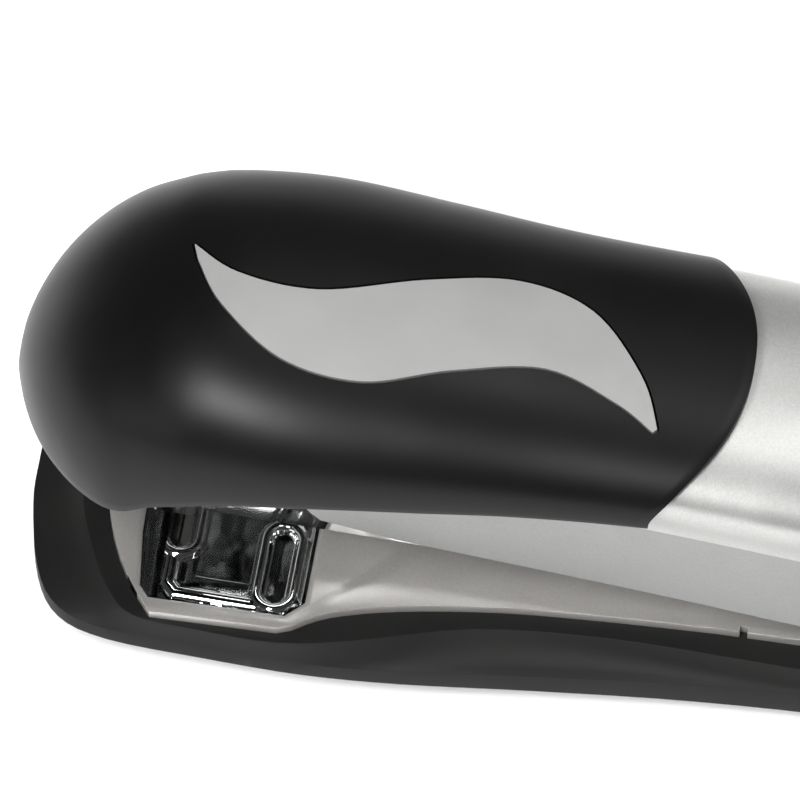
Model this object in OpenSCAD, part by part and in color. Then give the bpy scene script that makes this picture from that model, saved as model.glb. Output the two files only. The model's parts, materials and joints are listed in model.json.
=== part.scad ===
// Compact half-strip desktop stapler.
// x runs from the cap's tip (0) rearward to the base's heel, y across, z up from the plate's top face.
// The magazine, the inner cover and the driver are drawn closed on the anvil, then turned up about the pin.
// The handle's walls, its cover, the cap and the wave are drawn raised, as they stand at rest.

/* [Base] */
// Height of the silver plate's top above the table
plate_top = 7.5; // [6.5:0.1:9]
// Height of the black border below the plate's top
border_drop = 0.8; // [0.7:0.1:2]
// Thickness of the rubber sole
sole_t = 0.8; // [0.5:0.1:1.5]
// Half width of the plate in front of the waist
plate_w = 13.7; // [12:0.1:14]
// Radius of the plate's front edge
plate_front_r = 21; // [18:0.5:26]

/* [Hinge] */
// Distance of the hinge pin behind the cap's tip
pin_x = 110; // [104:0.5:114]
// Height of the hinge pin above the plate
pin_z = 8.5; // [8.4:0.1:9]
// Diameter of the hinge pin
pin_d = 3; // [2.4:0.1:3.6]
// Radial running clearance of everything that turns on the pin
pin_gap = 0.05; // [0.02:0.01:0.1]

/* [Motion] */
// Angle that the magazine is held up at rest
mag_lift = 2.6; // [2.4:0.1:3]
// Angle of the handle's press, measured from the magazine
press = 4.2; // [3.8:0.1:4.4]

/* [Staples] */
// Outside width of a staple's crown
crown = 12.7; // [12:0.1:13]
// Staple wire width and thickness
wire = 0.5; // [0.4:0.05:0.6]
// Height of a staple from crown to points
staple_h = 6.3; // [6:0.1:8.5]
// Length of the strip of staples
strip_l = 50; // [30:1:52]
// Distance of the staple being driven behind the cap's tip
drive_x = 13.1; // [12.9:0.1:13.3]

/* [Anvil] */
// Centre of the anvil behind the cap's tip
anvil_x = 16.9; // [16.5:0.1:17.3]
// Half spacing of the two pairs of grooves
groove_dx = 3.9; // [3.6:0.1:4.2]
// Distance that the button lifts the anvil clear of its pocket
anvil_travel = 1.8; // [1.7:0.05:1.9]

/* [Magazine] */
// Outside half width of the magazine's channel
mag_w = 7.05; // [7:0.05:7.3]
// Sheet thickness of the magazine
mag_t = 0.6; // [0.5:0.05:0.7]
// Height of the channel's side walls
mag_h = 8.7; // [8:0.1:9]
// Distance that the pusher draws back
pusher_travel = 14; // [8:1:14]

/* [Handle] */
// Outside half width of the handle's side walls
wall_w = 10.5; // [10.4:0.05:10.6]
// Thickness of the handle's side walls
wall_t = 0.9; // [0.7:0.05:0.9]
// Half width of the silver cover
cover_w = 11; // [10.9:0.05:11.05]
// Width of the open joint around the wave inlay
inlay_gap = 0.18; // [0.1:0.02:0.3]

/* [Hidden] */
$fn = 48;
heel_x = 132.2;
mid_x = heel_x / 2;
full_lift = mag_lift + press;
mag_z = 0.3;                    // underside of the magazine when closed
drop = -plate_top;
strip_x = drive_x + 0.5;
strip_end = strip_x + strip_l;
strip_z = mag_z + mag_t + 0.1;
rail_w = crown / 2 - wire - 0.2;
rail_z = strip_z + staple_h - wire - 0.2;
tail_r = 8.1;                   // round tail of the handle, about the pin
rim_top = -2.8;                 // the base's rim is upright below this height
screw_x = [36, 120];
rivet_x = 98;                   // rivet of the lift spring
post_r = 1.6;
button_z = -6.1 - (anvil_travel - 1.8);
rod_z = 8.6;
coil_x = strip_end + 8.5;       // front end of the pusher's spring
stop_x = coil_x + pusher_travel + 13.8; // front of the rear stop, with room for the closed spring
inner_w = 9.3;
inner_top = 10.6;
sheet_t = 0.6;
bracket_z = 12;
boss_x = [19, 27.5];            // screw bosses inside the cap

// ---- curves ----
function cr(a, b, c, d, t) =
    0.5 * (2 * b + (c - a) * t + (2 * a - 5 * b + 4 * c - d) * t * t + (3 * b - a - 3 * c + d) * t * t * t);
function flip(p) = [p.x, -p.y];
// smooth half outline through knots that start and end on the centre line
function half_path(k, n) = concat(
    [for (i = [0:len(k) - 2]) for (j = [0:n - 1])
        cr(i == 0 ? flip(k[1]) : k[i - 1], k[i], k[i + 1],
           i == len(k) - 2 ? flip(k[i]) : k[i + 2], j / n)],
    [k[len(k) - 1]]);
// smooth open path through knots
function open_path(k, n) = concat(
    [for (i = [0:len(k) - 2]) for (j = [0:n - 1])
        cr(k[max(i - 1, 0)], k[i], k[i + 1], k[min(i + 2, len(k) - 1)], j / n)],
    [k[len(k) - 1]]);
function both_sides(h) = concat([for (p = h) [p.x, -p.y]], [for (i = [len(h) - 2:-1:1]) h[i]]);
function mix(a, b, t) = a + (b - a) * t;
// value of a smooth curve through [x, value] knots
function seg(k, x, i = 0) = i >= len(k) - 2 || x < k[i + 1].x ? i : seg(k, x, i + 1);
function slope(k, i) = i == 0 ? (k[1].y - k[0].y) / (k[1].x - k[0].x)
    : i == len(k) - 1 ? (k[i].y - k[i - 1].y) / (k[i].x - k[i - 1].x)
    : (k[i + 1].y - k[i - 1].y) / (k[i + 1].x - k[i - 1].x);
function along(k, x) = let (i = seg(k, x), w = k[i + 1].x - k[i].x, t = (x - k[i].x) / w,
    a = slope(k, i) * w, b = slope(k, i + 1) * w)
    x <= k[0].x ? k[0].y : x >= k[len(k) - 1].x ? k[len(k) - 1].y :
    (2 * t * t * t - 3 * t * t + 1) * k[i].y + (t * t * t - 2 * t * t + t) * a
    + (3 * t * t - 2 * t * t * t) * k[i + 1].y + (t * t * t - t * t) * b;
function pw(v, e) = sign(v) * pow(abs(v), e);

// ---- solids from rings and sheets ----
module skin(rings) {
    n = len(rings[0]);
    m = len(rings);
    polyhedron(
        points = [for (r = rings) for (p = r) p],
        faces = concat(
            [[for (i = [0:n - 1]) i]],
            [[for (i = [n - 1:-1:0]) (m - 1) * n + i]],
            [for (k = [0:m - 2]) for (i = [0:n - 1]) [k * n + i, (k + 1) * n + i, (k + 1) * n + (i + 1) % n]],
            [for (k = [0:m - 2]) for (i = [0:n - 1]) [k * n + i, (k + 1) * n + (i + 1) % n, k * n + (i + 1) % n]]),
        convexity = 8);
}

// a sheet between two grids of points, g outside and h inside, rows from the front, columns near to far
module sheet(g, h) {
    n = len(g) - 1;
    m = len(g[0]) - 1;
    c = m + 1;
    q = (n + 1) * c;
    polyhedron(
        points = concat([for (r = g) for (p = r) p], [for (r = h) for (p = r) p]),
        faces = concat(
            [for (i = [0:n - 1]) for (j = [0:m - 1]) each [
                [i * c + j, i * c + j + 1, (i + 1) * c + j + 1],
                [i * c + j, (i + 1) * c + j + 1, (i + 1) * c + j],
                [q + i * c + j, q + (i + 1) * c + j + 1, q + i * c + j + 1],
                [q + i * c + j, q + (i + 1) * c + j, q + (i + 1) * c + j + 1]]],
            [for (j = [0:m - 1]) each [
                [j + 1, j, q + j], [j + 1, q + j, q + j + 1],
                [n * c + j, n * c + j + 1, q + n * c + j + 1], [n * c + j, q + n * c + j + 1, q + n * c + j]]],
            [for (i = [0:n - 1]) each [
                [i * c, (i + 1) * c, q + (i + 1) * c], [i * c, q + (i + 1) * c, q + i * c],
                [(i + 1) * c + m, i * c + m, q + i * c + m], [(i + 1) * c + m, q + i * c + m, q + (i + 1) * c + m]]]),
        convexity = 8);
}

// unit normals of a grid, and the grid moved inward by t(x)
function unit(v) = v / norm(v);
function grid_normal(g, i, j) = let (n = len(g) - 1, m = len(g[0]) - 1)
    unit(cross(g[min(i + 1, n)][j] - g[max(i - 1, 0)][j], g[i][min(j + 1, m)] - g[i][max(j - 1, 0)]));
function inset(g, a, b = 0) = [for (i = [0:len(g) - 1]) [for (j = [0:len(g[0]) - 1])
    g[i][j] - (a + b * min(1, g[i][j].x / 50)) * grid_normal(g, i, j)]];

// a round wire swept along a helix whose axis is x
module coil(l, r, wire_r, turns, n = 12, sides = 6) {
    steps = turns * n;
    rings = [for (k = [0:steps]) let (a = 360 * k / n, x = l * k / steps)
        [for (s = [0:sides - 1]) let (b = -360 * s / sides, q = r + wire_r * cos(b))
            [x + wire_r * sin(b), q * cos(a), q * sin(a)]]];
    skin(rings);
}

module place() translate([-mid_x, 0, plate_top]) children();
module turn(a) translate([pin_x, 0, pin_z]) rotate([0, a, 0]) translate([-pin_x, 0, -pin_z]) children();
module mag() place() turn(mag_lift) children();
module arm() place() turn(full_lift) children();
// a plate drawn as a side view and given a width across, from y0 to y1
module across(y0, y1) translate([0, y1, 0]) rotate([90, 0, 0]) linear_extrude(y1 - y0) children();
module pin_bore(r = pin_d / 2 + pin_gap) translate([pin_x, -20, pin_z]) rotate([-90, 0, 0]) cylinder(h = 40, r = r);
module stud(x, y, z, h, r) translate([x, y, z]) cylinder(h = h, r = r);
// a flat shape with round ends, long across
module lobe(l, w, h) union() {
    translate([-w / 2, -(l - w) / 2, 0]) cube([w, l - w, h]);
    for (s = [-1, 1]) translate([0, s * (l - w) / 2, 0]) cylinder(h = h, r = w / 2);
}

// ---- base ----
rim_k = [[1.1, 0], [1.3, 3.8], [2.6, 9.4], [4.7, 12.6], [8.6, 14], [16, 14.5], [23.6, 14.7], [31.2, 14.2],
    [41.2, 13], [53.2, 11.8], [66.2, 11.3], [82.2, 11.9], [98.2, 13.1], [113.2, 13.8], [124, 12.6],
    [129.4, 9.4], [131.7, 5], [heel_x, 0]];
step_k = [[4.8, 0], [5.3, 4.4], [6.8, 8.6], [8.5, 11.8], [10.6, 13.7], [15.2, 14.2], [21.7, 14.4], [27.7, 13.2],
    [36.2, 10.8], [46.2, 10], [58.2, 10.3], [74.2, 10.9], [92.2, 11.8], [108.2, 12.4], [119.5, 11.3],
    [125.6, 8.4], [128.2, 4.4], [129, 0]];
function ring_of(h, z) = [for (p = both_sides(h)) [p.x, p.y, z]];
function rim_low(x) = along([[1, -4.2], [20, -4.3], [60, -5.2], [heel_x, -5.4]], x);

module base_shell() {
    n = 4;
    rim = half_path(rim_k, n);
    step = half_path(step_k, n);
    foot = [for (i = [0:len(rim) - 1]) [mix(rim[i].x, 66, 0.03), rim[i].y * 0.86]];
    low = [for (p = both_sides(rim)) [p.x, p.y, rim_low(p.x)]];
    flank = [for (t = [0.2, 0.45, 0.7, 0.9]) [for (i = [0:len(rim) - 1]) mix(rim[i], step[i], t)]];
    rise = [0.08, 0.25, 0.52, 0.82];
    color([0.12, 0.12, 0.12]) place() difference() {
        skin([
            ring_of(foot, drop + sole_t),
            ring_of([for (i = [0:len(rim) - 1]) mix(foot[i], rim[i], 0.25)], drop + sole_t + 0.4),
            low,
            ring_of(rim, rim_top),
            for (k = [0:3]) ring_of(flank[k], mix(rim_top, -border_drop, rise[k])),
            ring_of(step, -border_drop)]);
        // well for the anvil's pocket, its spring and its button
        translate([0, 0, -2.5]) linear_extrude(5) pocket_shape(0.85);
        stud(anvil_x, 0, -10, 12, 4);
        // wells for the two screws that hold the plate
        for (x = screw_x) {
            stud(x, 0, -10, 12, 1.6);
            stud(x, 0, -10, 10 - 5, 3.1);
        }
        // room for the tails of the lift spring's rivet
        stud(rivet_x, 0, -3.4, 4, 2.6);
    }
}

function plate_half() = concat(
    [for (i = [0:8]) let (a = i * asin(plate_w / plate_front_r) / 8)
        [6.8 + plate_front_r * (1 - cos(a)), plate_front_r * sin(a)]],
    [[21.5, plate_w - 0.1]],
    open_path([[22.6, 13.2], [25.3, 11.6], [30.4, 10.2], [37.8, 9.1], [45.4, 8.6], [54, 8.3]], 4),
    [[55.9, 8.3], [55.9, 7.8], [56.5, 7.8], [56.5, 8.3]],
    [[118, 8.3], [121.6, 6.8], [123.6, 3.6], [124, 0]]);

module base_plate() {
    t = border_drop;
    color([0.72, 0.72, 0.71]) place() difference() {
        union() {
            translate([0, 0, -t]) linear_extrude(t) polygon(both_sides(plate_half()));
            // pocket's pan
            translate([0, 0, -2.4]) linear_extrude(2.6 - t) pocket_shape(0.7);
            // hinge ears, bent up from the edges
            for (s = [-1, 1]) across(s > 0 ? 7.5 : -8.3, s > 0 ? 8.3 : -7.5) ear_side();
        }
        translate([0, 0, -1.6]) linear_extrude(4) pocket_shape();
        stud(anvil_x, 0, -4, 5, post_r + pin_gap);
        for (x = screw_x) stud(x, 0, -3, 4, 1.5);
        pin_bore(pin_d / 2);
    }
}
// outline of the anvil's pocket, grown by d
module pocket_shape(d = 0) polygon(both_sides([[10.1 - d, 0], [10.3 - d, 6.5], [10.9 - d, 11.3], [11.6 - d * 0.3, 12.2 + d],
    [21.9 + d * 0.4, 12.2 + d], [23.2 + d, 10.9 + d * 0.4], [23.2 + d, 0]]));
// outline of the anvil, grown by d
module anvil_outline(d) polygon(both_sides([[12.1 - d, 0], [12.1 - d, 10.6 + d * 0.4], [13.1 - d * 0.4, 11.7 + d],
    [21.7 + d * 0.4, 11.95 + d], [22.95 + d, 10.7 + d * 0.4], [22.95 + d, 0]]));
module ear_side() union() {
    polygon([[60, -0.6], [61.4, 1.4], [65, 3.2], [73, 4.4], [96, 6.4], [106.6, 9.8],
        [pin_x - 0.9, pin_z], [pin_x - 0.9, -0.6]]);
    translate([pin_x, pin_z]) circle(r = 3.7);
}

module rubber_sole() {
    h = half_path(rim_k, 4);
    color([0.08, 0.08, 0.08]) place() translate([0, 0, drop]) difference() {
        linear_extrude(sole_t) polygon([for (p = both_sides(h)) [mix(p.x, 66, 0.04), p.y * 0.82]]);
        stud(anvil_x, 0, -1, 5, 4);
        for (x = screw_x) stud(x, 0, -1, 5, 3.1);
    }
}

// screws driven up from under the base, with their nuts pressed in the plate
module base_screws() color([0.55, 0.55, 0.56]) place() for (x = screw_x) difference() {
    union() {
        stud(x, 0, -5, 4.9, 1.5);
        stud(x, 0, -6.4, 1.4, 2.8);
    }
    translate([x - 2, -0.35, -6.5]) cube([4, 0.7, 0.9]);
    translate([x - 0.35, -2, -6.5]) cube([0.7, 4, 0.9]);
}

module hinge_pin() color([0.75, 0.75, 0.76]) place() translate([pin_x, 0, pin_z]) rotate([-90, 0, 0]) {
    translate([0, 0, 0.4 - wall_w]) cylinder(h = 2 * wall_w - 0.8, r = pin_d / 2);
}

module lift_spring() color([0.5, 0.52, 0.55]) place()
    across(-3.6, 3.6) polygon(concat(
        [[102, 0.02], [92, 0.02]],
        [for (i = [1:8]) [92 - 2.4 * i, 0.02 + 7 * pow(i / 8, 1.6)]],
        [for (i = [8:-1:1]) [92 - 2.4 * i + 0.05, 0.47 + 7 * pow(i / 8, 1.6)]],
        [[92, 0.47], [102, 0.47]]));
module lift_spring_rivet() color([0.7, 0.7, 0.7]) place() stud(rivet_x, 0, 0.49, 0.8, 2);

// ---- anvil ----
module anvil_plate() color([0.8, 0.8, 0.8]) place() difference() {
    union() {
        translate([0, 0, -1.58]) linear_extrude(0.68) anvil_outline(0);
        // raised rim, and raised lips round the grooves
        translate([0, 0, -1.58]) linear_extrude(1.03) difference() {
            anvil_outline(0);
            anvil_outline(-0.8);
        }
        for (e = [-1, 1], s = [-1, 1]) translate([anvil_x + e * groove_dx, s * groove_y(e), -1])
            lobe(groove_l(e) + 1.2, 3.8, 0.65);
        stud(anvil_x, 0, -1, 0.5, 2.6);
    }
    for (e = [-1, 1], s = [-1, 1]) translate([anvil_x + e * groove_dx, s * groove_y(e), -1.1])
        lobe(groove_l(e) - 0.1, 2.5, 1);
    stud(anvil_x, 0, -3, 4, post_r);
}
// centre and length of a groove in the front (e < 0) and rear (e > 0) pair
function groove_y(e) = e > 0 ? 7.75 : 4.3;
function groove_l(e) = e > 0 ? 7.2 : 6.6;

module anvil_post() color([0.7, 0.7, 0.7]) place() union() {
    stud(anvil_x, 0, button_z, -0.45 - button_z, post_r);
    stud(anvil_x, 0, button_z - 0.95, 1, 3.3);
}
module anvil_spring() color([0.5, 0.52, 0.55]) place()
    translate([anvil_x, 0, -2.65]) rotate([0, 90, 0]) coil(-2.85 - button_z, 2.4, 0.2, 3);

// ---- magazine ----
module magazine_channel() color([0.78, 0.78, 0.78]) mag() difference() {
    union() {
        for (s = [-1, 1]) across(s > 0 ? mag_w - mag_t : -mag_w, s > 0 ? mag_w : -mag_w + mag_t) mag_side();
        translate([strip_x, -mag_w, mag_z]) cube([56, 2 * mag_w, mag_t]);
        translate([102.5, -mag_w, mag_z]) cube([3, 2 * mag_w, mag_t]);
    }
    pin_bore();
}
module mag_side() union() {
    polygon([[drive_x - 0.7, mag_z], [105.5, mag_z], [pin_x + 2, pin_z - 3.2], [pin_x, pin_z + 3.4],
        [100, mag_h], [drive_x - 0.7, mag_h]]);
    translate([pin_x, pin_z]) circle(r = 3.6);
}

// folded nose with the slot that the driver runs in
module magazine_nose() color([0.82, 0.82, 0.82]) mag() difference() {
    union() {
        translate([drive_x - 2.3, -7.7, mag_z]) cube([1.6, 15.4, 9.5]);
        for (s = [-1, 1]) translate([drive_x - 1.5, s > 0 ? mag_w + 0.02 : -7.7, mag_z]) cube([3.2, 7.7 - mag_w - 0.02, 9.5]);
    }
    for (s = [-1, 1]) translate([drive_x - 2.3, s * 7.7, -1]) rotate([0, 0, 45]) cube([1.2, 1.2, 30], center = true);
    // relief that lets the driver's arc pass
    translate([drive_x - 0.85, -6.45, -1]) cube([1, 12.9, 12]);
}

module staple_rail() color([0.7, 0.7, 0.7]) mag() difference() {
    translate([strip_x, -rail_w, mag_z + mag_t]) cube([88, 2 * rail_w, rail_z - mag_z - mag_t]);
    translate([strip_x - 1, -rail_w + 0.6, -1]) cube([90, 2 * rail_w - 1.2, rail_z + 1 - 0.6]);
}

module staple_strip() color([0.85, 0.85, 0.86]) mag() difference() {
    translate([strip_x, -crown / 2, strip_z]) cube([strip_l, crown, staple_h]);
    translate([strip_x - 1, -crown / 2 + wire, strip_z - 1]) cube([strip_l + 2, crown - 2 * wire, staple_h + 1 - wire]);
    // fine lines between the glued wires
    for (i = [1:strip_l / 2 - 1]) for (z = [strip_z + staple_h - 0.04]) translate([strip_x + 2 * i, -7, z]) cube([0.06, 14, 0.1]);
}

module spring_rod() color([0.75, 0.75, 0.76]) mag()
    translate([strip_end + 1, 0, rod_z]) rotate([0, 90, 0]) cylinder(h = stop_x - strip_end - 1, r = 0.7);
module rear_stop() color([0.7, 0.7, 0.7]) mag()
    translate([stop_x, -mag_w + mag_t + 0.02, rail_z + 0.02]) cube([1.5, 2 * (mag_w - mag_t) - 0.04, rod_z + 1.5 - rail_z]);
module magazine_rivets() color([0.75, 0.75, 0.75]) mag() for (x = [24, 50], s = [-1, 1])
    translate([x, s * (mag_w + 0.02), 3]) rotate([s > 0 ? -90 : 90, 0, 0]) cylinder(h = 0.35, r = 1.1);

module pusher() color([0.25, 0.25, 0.26]) mag() difference() {
    union() {
        translate([strip_end + 0.2, -6.2, strip_z + 0.3]) cube([8, 12.4, 7.6 - strip_z - 0.3]);
        translate([strip_end + 0.2, -2.4, 7]) cube([8, 4.8, rod_z + 1.5 - 7]);
    }
    translate([strip_end - 1, -rail_w - 0.15, -1]) cube([12, 2 * rail_w + 0.3, rail_z + 1 + 0.15]);
    translate([strip_end - 1, 0, rod_z]) rotate([0, 90, 0]) cylinder(h = 12, r = 0.78);
}
module pusher_spring() color([0.5, 0.52, 0.55]) mag()
    translate([coil_x, 0, rod_z]) coil(stop_x - 0.3 - coil_x, 1.35, 0.25, 13, 10);

// ---- inner cover: holds the strip down and opens with the handle ----
module inner_cover() color([0.6, 0.6, 0.61]) mag() difference() {
    union() {
        for (s = [-1, 1]) across(s > 0 ? inner_w - sheet_t : -inner_w, s > 0 ? inner_w : -inner_w + sheet_t) inner_side();
        translate([32, -inner_w, inner_top]) cube([pin_x - 6 - 32, 2 * inner_w, sheet_t]);
        // presser that keeps the strip on the rail
        for (s = [-1, 1]) translate([34, s > 0 ? 3.4 : -4.4, 7.6]) cube([24, 1, inner_top - 7.6 + 0.1]);
    }
    pin_bore();
}
module inner_side() union() {
    polygon([[32, 7], [80, 5.6], [pin_x - 1, pin_z - 3.4], [pin_x - 1, pin_z + 3.6], [pin_x - 6, inner_top + sheet_t],
        [32, inner_top + sheet_t]]);
    translate([pin_x, pin_z]) circle(r = 3.9);
}

module return_spring() color([0.5, 0.52, 0.55]) mag() translate([0, 0, inner_top + 0.62]) across(-3, 3) polygon(concat(
    [[102, 0], [94, 0]],
    [for (i = [1:8]) [94 - 2.5 * i, 2.6 * pow(i / 8, 1.7)]],
    [for (i = [8:-1:1]) [94 - 2.5 * i + 0.05, 0.45 + 2.6 * pow(i / 8, 1.7)]],
    [[94, 0.45], [102, 0.45]]));
module return_spring_rivet() color([0.7, 0.7, 0.7]) mag() stud(99, 0, inner_top + 1.08, 0.5, 1.6);

// ---- handle ----
ridge_k = [[0, 26.2], [10, 26.9], [17, 27], [30, 25.8], [42, 24.5], [55, 23.6]];
rim_z_k = [[0, 12.7], [8, 12.7], [10, 13.2], [12, 14.6], [15.7, 16.1], [19.5, 17.1], [24, 17.7], [31, 17.9],
    [40, 18.1], [50, 18.2], [57, 17.9]];
nose_w_k = [[0, 0.8], [0.6, 2.8], [1, 4.7], [1.6, 7.8], [2, 9.7], [2.5, 11.8], [3, 13.3], [3.74, 14]];
rim_w_k = [[14, 14], [22, 14.1], [31, 13.3], [40, 12.4], [50, 11.9], [57, 11.9]];
function cap_w(x) = x >= 14 ? along(rim_w_k, x) : along(nose_w_k, sqrt(x));
function cap_rise(x) = (along(ridge_k, x) - along(rim_z_k, x)) * (x >= 17 ? 1 : sqrt(1 - pow(1 - x / 17, 2)));
function cap_end(a) = 50 + 5.4 * cos(a) * cos(a) - 0.7 * pow(abs(sin(a)), 24);
function cap_point(x, a) = [x, cap_w(x) * pw(sin(a), 2 / 2.3), along(rim_z_k, x) + cap_rise(x) * pw(cos(a), 2 / 2.3)];
function cap_grid(n, m) = [for (i = [0:n]) [for (j = [0:m]) let (a = -90 + 180 * j / m)
    cap_point(cap_end(a) * (1 - cos(90 * i / n)), a)]];

module cap_layer(a, b, c = 0, n = 30, m = 26) {
    g = cap_grid(n, m);
    sheet(inset(g, a), inset(g, b, c));
}
module cap() color([0.13, 0.13, 0.13]) place() difference() {
    union() {
        cap_layer(0, 1.5, -0.65);
        turn(full_lift) for (x = boss_x) stud(x, 0, bracket_z + 0.82, 2.9, 2);
    }
    intersection() {
        cap_layer(-0.4, 0.75);
        linear_extrude(40) offset(delta = inlay_gap) wave();
    }
    turn(full_lift) for (x = boss_x) stud(x, 0, bracket_z, 2.6, 0.9);
    // seat for the front of the cover
    cover_layer(-0.08, 1.4);
}
module wave_inlay() color([0.75, 0.75, 0.75]) place() difference() {
    intersection() {
        cap_layer(0, 0.7);
        linear_extrude(40) wave();
    }
    cover_layer(-0.08, 1.4);
}
module wave() polygon(concat(
    open_path([[12.9, 2.2], [16.5, 0], [22.7, -0.3], [30.4, 2.4], [37.2, 4], [42.9, 2.5], [47.3, -2.4], [49.1, -6.4]], 6),
    open_path([[48.8, -6.7], [45.7, -4.9], [40.2, -3.2], [33.5, -4.8], [27, -7], [20.8, -6.4], [15.8, -2.9],
        [13.4, 0.8]], 6)));

crease_k = [[40, 20.4], [51.5, 19], [61, 17.7], [80, 14.7], [100, 11.4], [112, 9.9]];
top_k = [[40, 24], [55, 22.4], [70, 20.8], [90, 18.5], [103, 17.1], [110, 16.6]];
function cover_tail(x) = x <= pin_x ? 1 : sqrt(max(0.0004, 1 - pow((x - pin_x) / tail_r, 2)));
// lower edge of the cover, which meets the top of the side walls
function cover_edge(x) = mix(pin_z, along(crease_k, x), cover_tail(x));
function cover_point(x, a) = let (rise = (along(top_k, x) - along(crease_k, x)) * cover_tail(x))
    [x, cover_w * pw(sin(a), 2 / 2.4), cover_edge(x) + rise * pw(cos(a), 2 / 2.2)];
function cover_x(t) = t < 0.7 ? mix(46, pin_x, t / 0.7) : pin_x + (tail_r - 0.02) * sin(90 * (t - 0.7) / 0.3);
function cover_grid(n, m) = [for (i = [0:n]) [for (j = [0:m]) cover_point(cover_x(i / n), -90 + 180 * j / m)]];
module cover_layer(a, b) {
    g = cover_grid(26, 22);
    sheet(inset(g, a), inset(g, b));
}
module handle_cover() color([0.8, 0.8, 0.79]) place() cover_layer(0, 0.9);

module handle_body() color([0.66, 0.66, 0.66]) place() difference() {
    union() {
        for (s = [-1, 1]) across(s > 0 ? wall_w - wall_t : -wall_w, s > 0 ? wall_w : -wall_w + wall_t) body_side();
        // cross plate under the cap
        translate([31.5, -wall_w + 0.5, 20.5]) cube([7.5, 2 * wall_w - 1, 0.6]);
        // bearing plate of the return spring, on two lugs
        translate([72, -9.55, 15.95]) cube([5.5, 19.1, 0.6]);
        for (s = [-1, 1]) translate([72, s > 0 ? 9.5 : -9.8, 14]) cube([5.5, 0.3, 2]);
    }
    pin_bore();
}
low_k = [[24.4, 10.9], [30.5, 9.6], [38, 8.6], [45.7, 7.6], [53.4, 6.5], [59, 5.6], [66, 4.6], [78, 3.2], [90, 1.9],
    [101, 0.7]];
module body_side() polygon(concat(
    [[23, 12.6]], open_path(low_k, 3),
    [for (a = [-90:7.5:-7.5]) [pin_x + (tail_r - 0.1) * cos(a), pin_z + (tail_r - 0.1) * sin(a)]],
    [for (a = [0:10:90]) let (x = pin_x + (tail_r - 1.1) * cos(a)) [x, cover_edge(x) - 0.25]],
    [for (x = [104:-4:40]) [x, cover_edge(x) - 0.25]], [[31, 20.9], [26, 20.2], [23, 17.4]]));

module driver_blade() color([0.7, 0.7, 0.72]) arm() translate([drive_x - 0.25, -6.2, 0.35]) cube([0.5, 12.4, bracket_z - 0.37]);
module driver_bracket() color([0.6, 0.6, 0.61]) arm() difference() {
    union() {
        translate([drive_x - 0.25, -5.4, bracket_z]) cube([18, 10.8, 0.8]);
        translate([drive_x + 0.27, -5, 9.6]) cube([0.8, 10, bracket_z - 9.5]);
    }
    for (x = boss_x) stud(x, 0, 10, 4, 0.95);
}
module driver_rivets() color([0.75, 0.75, 0.75]) arm() for (y = [-3, 3])
    translate([drive_x + 1.09, y, 10.8]) rotate([0, 90, 0]) cylinder(h = 0.5, r = 0.9);
module cap_screws() color([0.55, 0.55, 0.56]) arm() for (x = boss_x) union() {
    stud(x, 0, bracket_z - 0.5, 2.9, 0.9);
    stud(x, 0, bracket_z - 1, 0.95, 1.9);
}

base_shell();
base_plate();
rubber_sole();
base_screws();
hinge_pin();
lift_spring();
lift_spring_rivet();
anvil_plate();
anvil_post();
anvil_spring();
magazine_channel();
magazine_nose();
staple_rail();
staple_strip();
spring_rod();
rear_stop();
magazine_rivets();
pusher();
pusher_spring();
inner_cover();
return_spring();
return_spring_rivet();
handle_body();
handle_cover();
cap();
wave_inlay();
driver_blade();
driver_bracket();
driver_rivets();
cap_screws();
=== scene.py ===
"""Looks of a compact half-strip desktop stapler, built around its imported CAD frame.

Drawing millimetres are used throughout: x runs rearward from the cap's tip, y across, z up from
the silver plate's top face. to_row turns them into the frame's metres.
"""
import json
import math

import bmesh
import bpy
from mathutils import Matrix, Vector


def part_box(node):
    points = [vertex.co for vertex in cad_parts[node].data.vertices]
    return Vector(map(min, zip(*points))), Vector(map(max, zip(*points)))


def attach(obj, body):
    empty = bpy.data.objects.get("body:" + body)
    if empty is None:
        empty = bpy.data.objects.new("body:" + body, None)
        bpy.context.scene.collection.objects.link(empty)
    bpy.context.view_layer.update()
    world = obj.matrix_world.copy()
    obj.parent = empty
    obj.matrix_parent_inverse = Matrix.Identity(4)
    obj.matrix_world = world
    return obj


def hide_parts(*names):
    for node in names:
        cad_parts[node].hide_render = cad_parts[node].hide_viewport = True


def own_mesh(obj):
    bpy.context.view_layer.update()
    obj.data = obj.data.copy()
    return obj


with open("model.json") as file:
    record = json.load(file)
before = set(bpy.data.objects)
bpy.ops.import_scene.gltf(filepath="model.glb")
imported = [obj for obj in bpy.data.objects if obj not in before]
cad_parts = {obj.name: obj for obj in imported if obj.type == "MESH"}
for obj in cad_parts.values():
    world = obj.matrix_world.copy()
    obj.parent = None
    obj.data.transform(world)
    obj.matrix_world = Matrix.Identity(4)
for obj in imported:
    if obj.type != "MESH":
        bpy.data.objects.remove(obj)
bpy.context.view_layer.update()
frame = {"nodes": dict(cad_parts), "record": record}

MM = 0.001
BORDER_DROP = 0.8  # the black border lies this far below the plate's top face
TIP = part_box("cap")[0].x
PLATE_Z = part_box("base_shell")[1].z + BORDER_DROP * MM
PIN = (sum(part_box("hinge_pin"), Vector()) / 2 - Vector((TIP, 0, PLATE_Z))) / MM
MAG_LIFT = 2.6
FULL_LIFT = 6.8

to_row = Matrix.Translation((TIP, 0, PLATE_Z)) @ Matrix.Scale(MM, 4)


def lifted(angle):
    """Drawn closed on the anvil, then turned up about the hinge pin."""
    about = Matrix.Translation((PIN.x, 0, PIN.z))
    return to_row @ about @ Matrix.Rotation(math.radians(angle), 4, "Y") @ about.inverted()


# ---------------------------------------------------------------- curves

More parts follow.
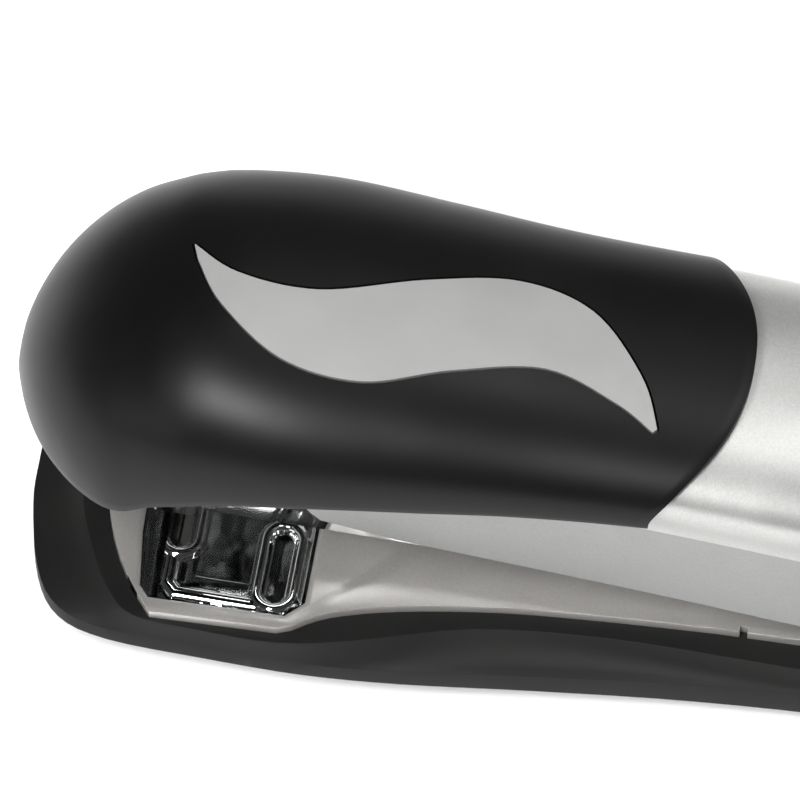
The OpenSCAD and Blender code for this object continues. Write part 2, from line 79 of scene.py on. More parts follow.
def along(knots, x):
    """Value at x of a smooth curve through (x, value) knots."""
    if x <= knots[0][0]:
        return knots[0][1]
    if x >= knots[-1][0]:
        return knots[-1][1]
    last = len(knots) - 1
    i = next(k for k in range(last) if x < knots[k + 1][0])

    def slope(k):
        a, b = knots[max(k - 1, 0)], knots[min(k + 1, last)]
        return (b[1] - a[1]) / (b[0] - a[0])

    w = knots[i + 1][0] - knots[i][0]
    t = (x - knots[i][0]) / w
    return ((2 * t**3 - 3 * t**2 + 1) * knots[i][1] + (t**3 - 2 * t**2 + t) * slope(i) * w
            + (3 * t**2 - 2 * t**3) * knots[i + 1][1] + (t**3 - t**2) * slope(i + 1) * w)


def through(points, steps):
    """Smooth open path through points."""
    p = [Vector(q) for q in points]
    p = [p[0]] + p + [p[-1]]
    out = []
    for a, b, c, d in zip(p, p[1:], p[2:], p[3:]):
        for s in range(steps):
            t = s / steps
            out.append(0.5 * (2 * b + (c - a) * t + (2 * a - 5 * b + 4 * c - d) * t * t
                              + (3 * b - a - 3 * c + d) * t**3))
    return out + [p[-1]]


def power(v, e):
    return math.copysign(abs(v) ** e, v)


def mix(a, b, t):
    return a + (b - a) * t


# ---------------------------------------------------------------- mesh work

def finish_piece(bm, name, body, material, nodes, matrix=to_row, smooth=35):
    """Makes the bmesh a finished piece that rides on a body and stands for CAD nodes."""
    bm.transform(matrix)
    for f in bm.faces:
        f.smooth = True
    for e in bm.edges:
        e.smooth = len(e.link_faces) == 2 and e.calc_face_angle(0) < math.radians(smooth)
    mesh = bpy.data.meshes.new(name)
    bm.to_mesh(mesh)
    bm.free()
    mesh.materials.append(material)
    obj = bpy.data.objects.new(name, mesh)
    bpy.context.scene.collection.objects.link(obj)
    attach(obj, body)
    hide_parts(*nodes)
    return obj


def cad_copy(node):
    """A merged copy of a CAD node, in drawing millimetres."""
    bm = bmesh.new()
    bm.from_mesh(frame["nodes"][node].data)
    bm.transform(to_row.inverted())
    bmesh.ops.remove_doubles(bm, verts=bm.verts, dist=0.002)
    bmesh.ops.dissolve_degenerate(bm, dist=0.001, edges=bm.edges)
    return bm


def flatten(bm):
    """Makes the triangles of every flat face one face again."""
    bmesh.ops.dissolve_limit(bm, angle_limit=math.radians(0.5), verts=bm.verts, edges=bm.edges)
    return bm


def round_edges(bm, width, segments=3, above=30, wanted=lambda e: True):
    """Rounds the edges that turn more than an angle."""
    edges = [e for e in bm.edges if len(e.link_faces) == 2 and e.calc_face_angle(0) > math.radians(above)
             and wanted(e)]
    bmesh.ops.bevel(bm, geom=edges, offset=width, offset_type="OFFSET", affect="EDGES",
                    segments=segments, profile=0.5, material=-1, clamp_overlap=True)
    return bm


def grid_piece(across, along_x, place):
    """A sheet of quads: place(u, v) gives each point, with u from front to rear and v from near to far."""
    bm = bmesh.new()
    bmesh.ops.create_grid(bm, x_segments=along_x, y_segments=across, size=0.5)
    for v in bm.verts:
        v.co = place(v.co.x + 0.5, v.co.y + 0.5)
    bmesh.ops.remove_doubles(bm, verts=bm.verts, dist=0.001)
    bm.normal_update()
    if sum(f.normal.z for f in bm.faces) < 0:
        bmesh.ops.reverse_faces(bm, faces=bm.faces)
    return bm


def layer(bm, outer, inner):
    """Turns a sheet into a closed layer between two depths below it."""
    bm.normal_update()
    shift = {v: v.normal * outer for v in bm.verts}
    for v, s in shift.items():
        v.co -= s
    bm.normal_update()
    bmesh.ops.solidify(bm, geom=bm.faces[:], thickness=inner - outer)
    bmesh.ops.recalc_face_normals(bm, faces=bm.faces)
    return bm


def temporary(bm):
    mesh = bpy.data.meshes.new("temporary")
    bm.to_mesh(mesh)
    bm.free()
    obj = bpy.data.objects.new("temporary", mesh)
    bpy.context.scene.collection.objects.link(obj)
    return obj


def combine(a, b, how):
    """Boolean of two closed bmeshes; both are used up."""
    target, tool = temporary(a), temporary(b)
    modifier = target.modifiers.new("cut", "BOOLEAN")
    modifier.operation = how
    modifier.object = tool
    modifier.solver = "EXACT"
    made = bpy.data.meshes.new_from_object(
        target.evaluated_get(bpy.context.evaluated_depsgraph_get()))
    bm = bmesh.new()
    bm.from_mesh(made)
    for o in (target, tool):
        mesh = o.data
        bpy.data.objects.remove(o)
        bpy.data.meshes.remove(mesh)
    bpy.data.meshes.remove(made)
    return bm


def prism(outline, low, high):
    """A closed outline extruded from one height to another."""
    bm = bmesh.new()
    base = bm.faces.new([bm.verts.new((p.x, p.y, low)) for p in outline])
    up = bmesh.ops.extrude_face_region(bm, geom=[base])["geom"]
    bmesh.ops.translate(bm, verts=[g for g in up if isinstance(g, bmesh.types.BMVert)],
                        vec=(0, 0, high - low))
    bmesh.ops.recalc_face_normals(bm, faces=bm.faces)
    return bm


def turned(profile, centre, axis="Z", steps=48):
    """A turned solid: (radius, height) points spun about an axis through centre."""
    bm = bmesh.new()
    verts = [bm.verts.new((r, 0, h)) for r, h in profile]
    edges = [bm.edges.new(pair) for pair in zip(verts, verts[1:])]
    bmesh.ops.spin(bm, geom=verts + edges, cent=(0, 0, 0), axis=(0, 0, 1), dvec=(0, 0, 0),
                   angle=math.tau, steps=steps, use_merge=True, use_duplicate=False)
    bmesh.ops.remove_doubles(bm, verts=bm.verts, dist=0.0005)
    bmesh.ops.recalc_face_normals(bm, faces=bm.faces)
    turn = {"Z": Matrix(), "Y": Matrix.Rotation(-math.pi / 2, 4, "X"),
            "-Y": Matrix.Rotation(math.pi / 2, 4, "X"), "X": Matrix.Rotation(math.pi / 2, 4, "Y")}[axis]
    bm.transform(Matrix.Translation(centre) @ turn)
    return bm


def joined(parts):
    """One bmesh holding several."""
    out = bmesh.new()
    for bm in parts:
        mesh = bpy.data.meshes.new("part")
        bm.to_mesh(mesh)
        bm.free()
        out.from_mesh(mesh)
        bpy.data.meshes.remove(mesh)
    return out


def swept(section, moves):
    """Sweeps a flat face along moves, then turns the normals outward.

    A move is ("run", vector) or ("bend", centre, axis, angle, steps, rise).
    """
    tip = section.faces[:]
    for kind, *how in moves:
        if kind == "run":
            made = bmesh.ops.extrude_face_region(section, geom=tip)["geom"]
            ahead = [g for g in made if isinstance(g, bmesh.types.BMVert)]
            bmesh.ops.translate(section, vec=how[0], verts=ahead)
        else:
            centre, axis, angle, steps, rise = how
            made = bmesh.ops.spin(section, geom=tip, cent=centre, axis=axis, dvec=Vector(rise) / steps,
                                  angle=angle, steps=steps, use_duplicate=False)["geom_last"]
        tip = [g for g in made if isinstance(g, bmesh.types.BMFace)]
    bmesh.ops.recalc_face_normals(section, faces=section.faces)
    return section


def coil(start, length, radius, wire, turns, axis="X", around=10, steps=28):
    """A round wire spun into a helix, with flat ends."""
    bm = bmesh.new()
    upright = Matrix.Translation((radius, 0, 0)) @ Matrix.Rotation(math.pi / 2, 4, "X")
    bmesh.ops.create_circle(bm, segments=around, radius=wire, cap_ends=True, matrix=upright)
    swept(bm, [("bend", (0, 0, 0), (0, 0, 1), math.tau * turns, int(turns * steps), (0, 0, length))])
    turn = {"Z": Matrix(), "X": Matrix.Rotation(math.pi / 2, 4, "Y")}[axis]
    bm.transform(Matrix.Translation(start) @ turn)
    return bm


# ---------------------------------------------------------------- materials

def linear(code):
    """sRGB hex to linear RGBA."""
    parts = [int(code[i:i + 2], 16) / 255 for i in (1, 3, 5)]
    return [c / 12.92 if c <= 0.04045 else ((c + 0.055) / 1.055) ** 2.4 for c in parts] + [1]


def add(tree, kind, inputs=None, stops=None, **settings):
    """Adds a node with its settings, colour stops, and inputs that are values or sockets to link."""
    node = tree.nodes.new("ShaderNode" + kind)
    for key, value in settings.items():
        setattr(node, key, value)
    if stops:
        elements = node.color_ramp.elements
        for i, (place, colour) in enumerate(stops):
            element = elements[i] if i < 2 else elements.new(place)
            element.position = place
            element.color = colour
    for key, value in (inputs or {}).items():
        if isinstance(value, bpy.types.NodeSocket):
            tree.links.new(value, node.inputs[key])
        else:
            node.inputs[key].default_value = value
    return node


def new_material(name, **shader):
    """A material with its shader's uniform values set on the shader's own sockets."""
    material = bpy.data.materials.new(name)
    material.use_nodes = True
    tree = material.node_tree
    tree.nodes.clear()
    bsdf = add(tree, "BsdfPrincipled", {k.replace("_", " "): v for k, v in shader.items()})
    add(tree, "OutputMaterial", {"Surface": bsdf.outputs[0]})
    place = add(tree, "TexCoord").outputs["Object"]
    return material, tree, bsdf, place


def per_mm(size):
    """Pattern scale on metre coordinates for a feature of that many millimetres."""
    return 1 / (size * MM)


def grain(tree, bsdf, place, size, depth, detail=3):
    """Fine relief of that grain size and depth in millimetres."""
    noise = add(tree, "TexNoise", {"Vector": place, "Scale": per_mm(size), "Detail": detail})
    bump = add(tree, "Bump", {"Height": noise.outputs[0], "Distance": depth * MM, "Strength": 1.0})
    tree.links.new(bump.outputs[0], bsdf.inputs["Normal"])
    return bump


def varied(tree, bsdf, place, size, colours, rough, detail=4):
    """Colour and roughness that wander slightly over patches of that many millimetres."""
    patch = add(tree, "TexNoise", {"Vector": place, "Scale": per_mm(size), "Detail": detail})
    shade = add(tree, "ValToRGB", {"Fac": patch.outputs[0]},
                stops=[(0.3, linear(colours[0])), (0.7, linear(colours[1]))])
    spread = add(tree, "MapRange", {"Value": patch.outputs[0], "From Min": 0.3, "From Max": 0.7,
                                    "To Min": rough[0], "To Max": rough[1]})
    tree.links.new(shade.outputs[0], bsdf.inputs["Base Color"])
    tree.links.new(spread.outputs[0], bsdf.inputs["Roughness"])
    return shade


def soft_touch_black():
    """Soft-touch coated ABS, moulded: a velvety black whose highlights are broad and dim."""
    m, t, b, p = new_material("soft_touch_black", IOR=1.31)
    varied(t, b, p, 9, ("#080808", "#0b0b0b"), (0.35, 0.4))
    grain(t, b, p, 0.12, 0.0035)
    return m


def satin_black_abs():
    """ABS moulded in a finely spark-eroded tool: black with a dry, even satin."""
    m, t, b, p = new_material("satin_black_abs", IOR=1.36)
    varied(t, b, p, 6, ("#101010", "#141413"), (0.54, 0.62))
    grain(t, b, p, 0.16, 0.006)
    return m


def flake_silver(name, colours, rough, sparkle):
    """Aluminium-flake lacquer on moulded ABS: silver that glitters in fine points."""
    m, t, b, p = new_material(name, Metallic=0.72, IOR=1.5, Coat_Weight=0.15, Coat_Roughness=0.25)
    shade = varied(t, b, p, 7, colours, rough)
    # flakes are about 0.04 mm; they are drawn at 0.11 mm so that they show
    flake = add(t, "TexVoronoi", {"Vector": p, "Scale": per_mm(0.11), "Randomness": 1.0})
    bright = add(t, "MapRange", {"Value": flake.outputs["Color"],
                                 "To Min": 1 - sparkle, "To Max": 1 + sparkle})
    lit = add(t, "VectorMath", {0: shade.outputs[0], "Scale": bright.outputs[0]}, operation="SCALE")
    t.links.new(lit.outputs[0], b.inputs["Base Color"])
    grain(t, b, p, 0.14, 0.004)
    return m


def stamped_silver():
    """Hot-stamped foil on a moulded inlay: a flat, pale, even satin."""
    m, t, b, p = new_material("stamped_silver", Metallic=0.35, IOR=1.5)
    varied(t, b, p, 5, ("#8d8d8c", "#949493"), (0.5, 0.58))
    grain(t, b, p, 0.1, 0.0015)
    return m


def lacquered_plate():
    """Silver lacquer over pressed sheet steel: a faintly warm satin with soft orange peel."""
    m, t, b, p = new_material("lacquered_plate", Metallic=0.65, IOR=1.5, Coat_Weight=0.2, Coat_Roughness=0.3)
    shade = varied(t, b, p, 8, ("#b7b4b1", "#c1bebb"), (0.36, 0.44))
    flake = add(t, "TexVoronoi", {"Vector": p, "Scale": per_mm(0.11)})
    bright = add(t, "MapRange", {"Value": flake.outputs["Color"], "To Min": 0.93, "To Max": 1.07})
    lit = add(t, "VectorMath", {0: shade.outputs[0], "Scale": bright.outputs[0]}, operation="SCALE")
    t.links.new(lit.outputs[0], b.inputs["Base Color"])
    grain(t, b, p, 0.5, 0.004)
    return m


def bright_chrome():
    """Polished chromium plate on pressed steel: mirror-like, with a trace of press ripple."""
    m, t, b, p = new_material("bright_chrome", Metallic=1.0)
    varied(t, b, p, 3, ("#c3c5c5", "#cdcecd"), (0.05, 0.11))
    grain(t, b, p, 1.6, 0.006, detail=1)
    return m


def rolled_steel(name, colours, rough, depth=0.002):
    """Cold-rolled sheet: grey, with fine lines that run with the rolling."""
    m, t, b, p = new_material(name, Metallic=1.0)
    lines = add(t, "Mapping", {"Vector": p, "Scale": (0.06, 1.0, 1.0)})
    varied(t, b, lines.outputs[0], 0.5, colours, rough)
    grain(t, b, lines.outputs[0], 0.12, depth)
    return m


def spring_steel():
    """Oil-tempered wire and strip: dark, bluish and smooth with a thin film of oil."""
    m, t, b, p = new_material("spring_steel", Metallic=1.0, Coat_Weight=0.2, Coat_Roughness=0.2)
    varied(t, b, p, 1.5, ("#777b82", "#8b8f95"), (0.22, 0.34))
    grain(t, b, p, 0.15, 0.0015)
    return m


def turned_steel():
    """Bright drawn pins and rivets: clean steel with faint draw lines."""
    m, t, b, p = new_material("turned_steel", Metallic=1.0)
    varied(t, b, p, 1.2, ("#c2c3c4", "#d0d0d0"), (0.2, 0.3))
    grain(t, b, p, 0.2, 0.002)
    return m


def zinc_screw():
    """Zinc-plated screws: slightly blue, with cloudy spangle."""
    m, t, b, p = new_material("zinc_screw", Metallic=1.0)
    varied(t, b, p, 0.8, ("#a9adb2", "#c3c5c6"), (0.26, 0.42))
    grain(t, b, p, 0.12, 0.002)
    return m


def galvanised_wire():
    """Galvanised staple wire held in lacquer: bright, each wire a little different."""
    m, t, b, p = new_material("galvanised_wire", Metallic=1.0, Coat_Weight=0.3, Coat_Roughness=0.15)
    slices = add(t, "Mapping", {"Vector": p, "Scale": (1.0, 0.05, 0.05)})
    varied(t, b, slices.outputs[0], 0.6, ("#b4b5b7", "#d6d6d6"), (0.2, 0.34), detail=0)
    grain(t, b, p, 0.1, 0.0015)
    return m


def black_nylon():
    """Moulded glass-filled nylon: charcoal, dry, with tiny pits."""
    m, t, b, p = new_material("black_nylon", IOR=1.53)
    varied(t, b, p, 2, ("#1f1f20", "#292929"), (0.45, 0.6))
    grain(t, b, p, 0.18, 0.008)
    return m


def black_rubber():
    """Vulcanised rubber sheet: matt grey-black with talc left in its grain."""
    m, t, b, p = new_material("black_rubber", IOR=1.52)
    varied(t, b, p, 3, ("#151515", "#242423"), (0.75, 0.9))
    grain(t, b, p, 0.3, 0.02)
    return m


soft_black = soft_touch_black()
shell_black = satin_black_abs()
cover_silver = flake_silver("cover_silver", ("#b4b4b2", "#bbbbb9"), (0.36, 0.43), 0.09)
# the side walls take a darker copy of the cover's flake lacquer: the darker tone is painted shade on the
# sides
painted_shade_panel_silver = flake_silver("painted_shade_panel_silver", ("#8e8e8d", "#959594"), (0.36, 0.43), 0.07)
wave_silver = stamped_silver()
plate_silver = lacquered_plate()
chrome = bright_chrome()
sheet_steel = rolled_steel("sheet_steel", ("#9a9b9c", "#adaeae"), (0.28, 0.4))
blade_steel = rolled_steel("blade_steel", ("#8f9196", "#a3a5a9"), (0.18, 0.28))
spring_metal = spring_steel()
pin_metal = turned_steel()
screw_zinc = zinc_screw()
staple_metal = galvanised_wire()
nylon = black_nylon()
rubber = black_rubber()


# ---------------------------------------------------------------- handle: cap and wave

RIDGE = [(0, 26.2), (10, 26.9), (17, 27), (30, 25.8), (42, 24.5), (55, 23.6)]
CAP_RIM = [(0, 12.7), (8, 12.7), (10, 13.2), (12, 14.6), (15.7, 16.1), (19.5, 17.1), (24, 17.7), (31, 17.9),
           (40, 18.1), (50, 18.2), (57, 17.9)]
NOSE_WIDTH = [(0, 0.8), (0.6, 2.8), (1, 4.7), (1.6, 7.8), (2, 9.7), (2.5, 11.8), (3, 13.3), (3.74, 14)]
CAP_WIDTH = [(14, 14), (22, 14.1), (31, 13.3), (40, 12.4), (50, 11.9), (57, 11.9)]
DOME = 17.0  # the cap's nose is domed over this length
CAP_WALL = 0.9
WAVE_DEPTH = 0.68
WAVE_GAP = 0.18
BRACKET_Z = 12
BOSS_X = (19, 27.5)


def cap_surface(u, v):
    a = math.pi * (v - 0.5)
    end = 50 + 5.4 * math.cos(a) ** 2 - 0.7 * abs(math.sin(a)) ** 24
    x = end * (1 - math.cos(math.pi / 2 * u))
    width = along(CAP_WIDTH, x) if x >= 14 else along(NOSE_WIDTH, math.sqrt(max(x, 0)))
    rise = along(RIDGE, x) - along(CAP_RIM, x)
    if x < DOME:
        rise *= math.sqrt(1 - (1 - x / DOME) ** 2)
    return Vector((x, width * power(math.sin(a), 2 / 2.3),
                   along(CAP_RIM, x) + rise * power(math.cos(a), 2 / 2.3)))


def wave_outline(grow):
    front = through([(12.9, 2.2), (16.5, 0), (22.7, -0.3), (30.4, 2.4), (37.2, 4), (42.9, 2.5), (47.3, -2.4),
                     (49.1, -6.4)], 8)
    back = through([(48.8, -6.7), (45.7, -4.9), (40.2, -3.2), (33.5, -4.8), (27, -7), (20.8, -6.4),
                    (15.8, -2.9), (13.4, 0.8)], 8)
    ring = front + back
    n = len(ring)
    out = []
    for i, p in enumerate(ring):
        side = (ring[(i + 1) % n] - ring[i - 1]).normalized()
        out.append(p + Vector((-side.y, side.x)) * grow)
    return out


def cap_sheet():
    return grid_piece(72, 96, cap_surface)


def cap_moulding():
    """The domed shell with a rounded rim, the pocket of the wave and two screw bosses inside."""
    shell = round_edges(layer(cap_sheet(), 0, CAP_WALL), 0.2, 2, above=60)
    pocket = combine(layer(cap_sheet(), -0.4, WAVE_DEPTH + 0.03), prism(wave_outline(WAVE_GAP), 5, 40),
                     "INTERSECT")
    tube = [(0.9, 0), (2, 0), (2, 2.9), (0.9, 2.9), (0.9, 0)]
    bosses = [turned(tube, (x, 0, BRACKET_Z + 0.82)) for x in BOSS_X]
    for b in bosses:
        b.transform(to_row.inverted() @ lifted(FULL_LIFT))
    finish_piece(joined([combine(shell, pocket, "DIFFERENCE")] + bosses), "cap_moulding", "handle",
                 soft_black, ["cap"], smooth=30)


def wave_strip():
    strip = combine(layer(cap_sheet(), 0.0, WAVE_DEPTH), prism(wave_outline(0.0), 5, 40), "INTERSECT")
    finish_piece(strip, "wave_strip", "handle", wave_silver, ["wave_inlay"], smooth=30)


cap_moulding()
wave_strip()


# ---------------------------------------------------------------- handle: cover and body

CREASE = [(40, 20.4), (51.5, 19), (61, 17.7), (80, 14.7), (100, 11.4), (112, 9.9)]
COVER_TOP = [(40, 24), (55, 22.4), (70, 20.8), (90, 18.5), (103, 17.1), (110, 16.6)]
COVER_W = 11.0
WALL_W = 10.5
TAIL_R = 8.1


def cover_surface(u, v):
    """The silver cover, whose lower edge runs down on to the walls without a step."""
    if u < 0.7:
        x = mix(46, PIN.x, u / 0.7)
    else:
        x = PIN.x + (TAIL_R - 0.02) * math.sin(math.pi / 2 * (u - 0.7) / 0.3)
    t = 1 if x <= PIN.x else math.sqrt(max(0.0004, 1 - ((x - PIN.x) / TAIL_R) ** 2))
    low, high = along(CREASE, x), along(COVER_TOP, x)
    base = low if x <= PIN.x else mix(PIN.z, low, t)
    skirt = 0.12
    side = 1 if v > 0.5 else -1
    if v < skirt or v > 1 - skirt:
        s = (skirt - min(v, 1 - v)) / skirt
        ease = s * s * (3 - 2 * s)
        return Vector((x, side * mix(COVER_W, WALL_W + 0.03, ease), base - 3.4 * t * s))
    a = math.pi * ((v - skirt) / (1 - 2 * skirt) - 0.5)
    return Vector((x, COVER_W * power(math.sin(a), 2 / 2.4),
                   base + (high - low) * t * power(math.cos(a), 2 / 2.2)))


cover = layer(grid_piece(76, 80, cover_surface), 0, 0.5)
finish_piece(cover, "cover_skin", "handle", cover_silver, ["handle_cover"], smooth=40)

def on_outer_face(e):
    return all(abs(v.co.y) > WALL_W - 0.05 for v in e.verts)


# the walls' darker lacquer is painted shade on the handle's sides
body = round_edges(flatten(cad_copy("handle_body")), 0.22, wanted=on_outer_face)
finish_piece(body, "handle_walls", "handle", painted_shade_panel_silver, ["handle_body"])


# ---------------------------------------------------------------- base

shell = cad_copy("base_shell")
round_edges(shell, 0.25, above=38)
finish_piece(shell, "base_moulding", "base", shell_black, ["base_shell"], smooth=28)


def on_pocket_rim(e):
    """The top edge round the anvil's pocket."""
    return all(abs(v.co.z) < 0.01 and 9.9 < v.co.x < 23.4 and abs(v.co.y) < 12.4 for v in e.verts)


plate = flatten(cad_copy("base_plate"))
round_edges(plate, 0.55, 5, wanted=on_pocket_rim)
round_edges(plate, 0.28, 3, above=50)
for f in plate.faces:
    middle = f.calc_center_median()
    # the pocket's walls and pan are left bright, without lacquer
    if -1.7 < middle.z < -0.3 and f.normal.z > -0.5 and 9.9 < middle.x < 23.4 and abs(middle.y) < 12.4:
        f.material_index = 1
finish_piece(plate, "silver_plate", "base", plate_silver, ["base_plate"],
             smooth=30).data.materials.append(chrome)

sole = round_edges(flatten(cad_copy("rubber_sole")), 0.25)
finish_piece(sole, "rubber_pad", "base", rubber, ["rubber_sole"])

# half of the outline, from the front: x and the distance out from the middle
ANVIL = [(12.1, 10.6), (13.1, 11.7), (21.7, 11.95), (22.95, 10.7)]
ANVIL_X = 16.9
# x of each pair of grooves, how far out they sit from the middle, and their length
GROOVES = [(ANVIL_X - 3.9, 4.3, 6.6), (ANVIL_X + 3.9, 7.75, 7.2)]


def anvil_edge(x, y):
    """Distance in from the anvil's edge."""
    corners = [(a, -b) for a, b in ANVIL]
    ring = [Vector(c) for c in corners] + [Vector((a, -b)) for a, b in reversed(corners)]
    here = Vector((x, y))
    near = []
    for a, b in zip(ring, ring[1:] + ring[:1]):
        t = max(0, min(1, (here - a).dot(b - a) / (b - a).length_squared))
        near.append((here - a.lerp(b, t)).length)
    return min(near)


def bump(d, middle, half, height):
    """A rounded bead of that half width and height around a distance."""
    t = (d - middle) / half
    return height * (1 - t * t) ** 0.5 if abs(t) < 1 else 0


def anvil_height(x, y):
    """The pressed face: a raised rim with a step inside it, and a thick lip round every groove."""
    edge = anvil_edge(x, y)
    z = -1.12 + 0.12 * min(1, max(0, (2.6 - edge) / 0.35))
    z = max(z, -1.1 + bump(edge, 0.62, 0.62, 0.5))
    for gx, gy, length in GROOVES:
        reach = length / 2 - 1.25
        r = math.hypot(x - gx, max(0, abs(abs(y) - gy) - reach))
        if r < 1.98:
            lip = -1.12 + bump(r, 1.4, 0.58, 0.75)
            z = max(z, lip) if r > 1.4 else max(lip, -1.1 + 0.1 * r)
    return z


def anvil_pressing():
    """The anvil as one pressing: its relief is a sheet trimmed to the outline."""
    low, high = Vector((11.9, -12.2)), Vector((23.1, 12.2))
    face = grid_piece(210, 96, lambda u, v: Vector((mix(low.x, high.x, u), mix(low.y, high.y, v), 0)))
    for v in face.verts:
        v.co.z = anvil_height(v.co.x, v.co.y)
    skin = bmesh.ops.extrude_face_region(face, geom=face.faces[:])["geom"]
    for v in skin:
        if isinstance(v, bmesh.types.BMVert):
            v.co.z = -1.58
    bmesh.ops.recalc_face_normals(face, faces=face.faces)
    outline = [Vector((x, -y)) for x, y in ANVIL] + [Vector((x, y)) for x, y in reversed(ANVIL)]
    plate = combine(face, prism(outline, -3, 1), "INTERSECT")
    finish_piece(plate, "anvil_pressing", "anvil", chrome, ["anvil_plate"], smooth=50)


anvil_pressing()


# ---------------------------------------------------------------- everything else

# slot, material and radius of the rounded edges
PLAIN = {
    "base_screws": ("screws", screw_zinc, 0.12),
    "hinge_pin": ("pin", pin_metal, 0.2),
    "anvil_post": ("anvil", chrome, 0.2),
    "magazine_channel": ("magazine", chrome, 0.12),
    "magazine_nose": ("magazine", chrome, 0.12),
    "staple_rail": ("rail", sheet_steel, 0.12),
    "spring_rod": ("pin", pin_metal, 0.15),
    "rear_stop": ("rail", sheet_steel, 0.15),
    "pusher": ("pusher", nylon, 0.2),
    "inner_cover": ("inner_cover", sheet_steel, 0.12),
    "driver_blade": ("driver", blade_steel, 0.05),
    "driver_bracket": ("inner_cover", sheet_steel, 0.12),
    "cap_screws": ("screws", screw_zinc, 0.15),
}
BODY_OF = {n: b for b, ns in frame["record"]["behaviour"]["bodies"].items() for n in ns}
for node, (slot, material, radius) in PLAIN.items():
    bm = round_edges(flatten(cad_copy(node)), radius)
    finish_piece(bm, node + "_part", BODY_OF[node], material, [node])


# ---------------------------------------------------------------- staples

WIRE = 0.5
CROWN = 12.7
STAPLE_H = 6.3
STRIP_X = 13.6
STRIP_Z = 1.0
STRIP_L = 50


def staple(x):
    """One bent staple: up a leg, round a corner, along the crown and down again."""
    thick, bend = WIRE * 0.96, 0.45
    leg_y, leg = CROWN / 2 - WIRE / 2, STAPLE_H - WIRE / 2 - bend
    bm = bmesh.new()
    foot = Matrix.Translation((x, -leg_y, STRIP_Z)) @ Matrix.Rotation(math.pi / 8, 4, "Z")
    bmesh.ops.create_circle(bm, segments=8, radius=thick / 2 / math.cos(math.pi / 8), cap_ends=True,
                            matrix=foot)
    top = STRIP_Z + leg
    return swept(bm, [
        ("run", (0, 0, leg)),
        ("bend", (x, bend - leg_y, top), (1, 0, 0), -math.pi / 2, 3, (0, 0, 0)),
        ("run", (0, 2 * (leg_y - bend), 0)),
        ("bend", (x, leg_y - bend, top), (1, 0, 0), -math.pi / 2, 3, (0, 0, 0)),
        ("run", (0, 0, -leg))])


count = int(STRIP_L / WIRE)
strip = joined([staple(STRIP_X + WIRE * (i + 0.5)) for i in range(count)])
finish_piece(strip, "glued_staples", "magazine", staple_metal, ["staple_strip"],
             lifted(MAG_LIFT), 50)


# ---------------------------------------------------------------- springs and rivets

COIL_X, COIL_END, ROD_Z = 72.1, 99.6, 8.6
INNER_TOP = 10.6


def springs():
    """Two wound springs and two leaves, each on its own body."""
    wound = finish_piece(coil((COIL_X, 0, ROD_Z), COIL_END - COIL_X, 1.35, 0.22, 17), "pusher_coil",
                         "magazine", spring_metal, ["pusher_spring"], lifted(MAG_LIFT), 50)
    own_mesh(wound)
    low, high = -5.9, -2.65
    small = finish_piece(coil((ANVIL_X, 0, low), high - low, 2.4, 0.2, 4, "Z"), "anvil_coil", "anvil",
                         spring_metal, ["anvil_spring"], smooth=50)
    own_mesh(small)
    lift = finish_piece(round_edges(flatten(cad_copy("lift_spring")), 0.08), "lift_leaf", "base",
                        spring_metal, ["lift_spring"])
    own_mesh(lift)
    back = finish_piece(round_edges(flatten(cad_copy("return_spring")), 0.08), "return_leaf", "inner_cover",
                        spring_metal, ["return_spring"])
    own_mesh(back)


def rivet_head(radius, height):
    """A domed head: a flat base and a quarter-round side, ending in a small flat."""
    arc = [(radius * (1 - 0.75 * (1 - math.cos(a))), height * math.sin(a))
           for a in (math.radians(15 * k) for k in range(7))]
    return [(0, 0)] + arc + [(0, height)]


def rivets(name, body, radius, height, places, axes, nodes, matrix):
    heads = [turned(rivet_head(radius, height), p, axis, 32) for p, axis in zip(places, axes)]
    finish_piece(joined(heads), name, body, pin_metal, nodes, matrix, 40)


springs()
rivets("channel_rivets", "magazine", 1.1, 0.35,
       [(x, side * 7.07, 3) for x in (24, 50) for side in (-1, 1)], ["-Y", "Y"] * 2,
       ["magazine_rivets"], lifted(MAG_LIFT))
rivets("blade_rivets", "handle", 0.9, 0.5, [(14.19, y, 10.8) for y in (-3, 3)], ["X", "X"],
       ["driver_rivets"], lifted(FULL_LIFT))
rivets("return_leaf_rivet", "inner_cover", 1.6, 0.5, [(99, 0, INNER_TOP + 1.08)], ["Z"],
       ["return_spring_rivet"], lifted(MAG_LIFT))
rivets("lift_leaf_rivet", "base", 2, 0.8, [(98, 0, 0.49)], ["Z"], ["lift_spring_rivet"], to_row)


# ---------------------------------------------------------------- floor, light, camera

def stage():
    bm = bmesh.new()
    bmesh.ops.create_grid(bm, x_segments=1, y_segments=1, size=3)
    mesh = bpy.data.meshes.new("floor")
    bm.to_mesh(mesh)
    bm.free()
    material, tree, bsdf, place = new_material("pale_floor")
    varied(tree, bsdf, place, 400, ("#f4f4f4", "#f7f7f7"), (0.8, 0.9))
    mesh.materials.append(material)
    floor = bpy.data.objects.new("floor", mesh)
    bpy.context.scene.collection.objects.link(floor)


def heading(azimuth, elevation):
    """Unit vector towards a compass direction (0 is the near side) and height, in degrees."""
    a, e = math.radians(azimuth), math.radians(elevation)
    return Vector((math.sin(a) * math.cos(e), -math.cos(a) * math.cos(e), math.sin(e)))


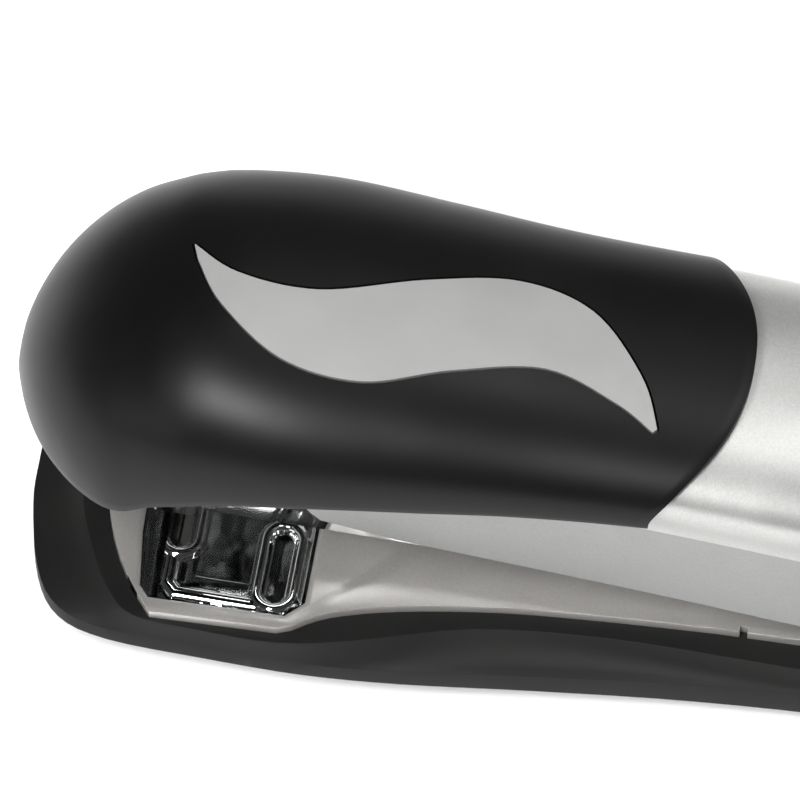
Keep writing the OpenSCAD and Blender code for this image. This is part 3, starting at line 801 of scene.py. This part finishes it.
def softbox(name, place, aim, size, power_w, shows=True):
    """An area light; one that doesn't show lights surfaces without being mirrored in them."""
    light = bpy.data.lights.new(name, "AREA")
    light.shape = "RECTANGLE"
    light.size, light.size_y = size
    light.energy = power_w
    obj = bpy.data.objects.new(name, light)
    obj.location = place
    obj.rotation_euler = (Vector(aim) - Vector(place)).to_track_quat("-Z", "Y").to_euler()
    obj.visible_camera = False
    obj.visible_glossy = shows
    bpy.context.scene.collection.objects.link(obj)


def studio():
    world = bpy.data.worlds.new("studio")
    bpy.context.scene.world = world
    world.use_nodes = True
    world.node_tree.nodes["Background"].inputs[0].default_value = (1, 1, 1, 1)
    world.node_tree.nodes["Background"].inputs[1].default_value = 0.06
    middle = Vector((TIP + 0.03, 0, 0.015))
    softbox("key", middle + heading(-20, 54) * 0.4, middle, (0.07, 0.14), 1.35)
    cover_top = to_row @ Vector((70, 0, 18))
    softbox("top", to_row @ Vector((85, 0, 0)) + heading(160, 74) * 0.4, cover_top, (0.1, 0.14), 0.3)
    softbox("back_strip", middle + heading(176, 8) * 0.8, middle, (0.7, 0.1), 0.5)
    softbox("near_strip", middle + heading(-45, 16) * 0.8, middle, (0.5, 0.14), 0.5)
    softbox("near_fill", middle + heading(-5, 45) * 0.9, middle, (1, 1), 7.2, shows=False)
    softbox("far_fill", middle + heading(175, 50) * 0.9, middle, (1, 1), 8.4, shows=False)
    bpy.context.scene.view_settings.view_transform = "Standard"


def camera():
    """Above and a little to the right of square on, through a long lens."""
    distance, field = 1.5, 0.0602
    back = heading(9.3, 57)
    data = bpy.data.cameras.new("camera")
    data.sensor_width = 36
    data.lens = data.sensor_width * distance / field
    data.clip_start, data.clip_end = 0.1, 20
    cam = bpy.data.objects.new("camera", data)
    cam.location = to_row @ Vector((28, 4.5, 5.5)) + back * distance
    cam.rotation_mode = "QUATERNION"
    cam.rotation_quaternion = (-back).to_track_quat("-Z", "Y")
    bpy.context.scene.collection.objects.link(cam)
    bpy.context.scene.camera = cam


stage()
studio()
camera()
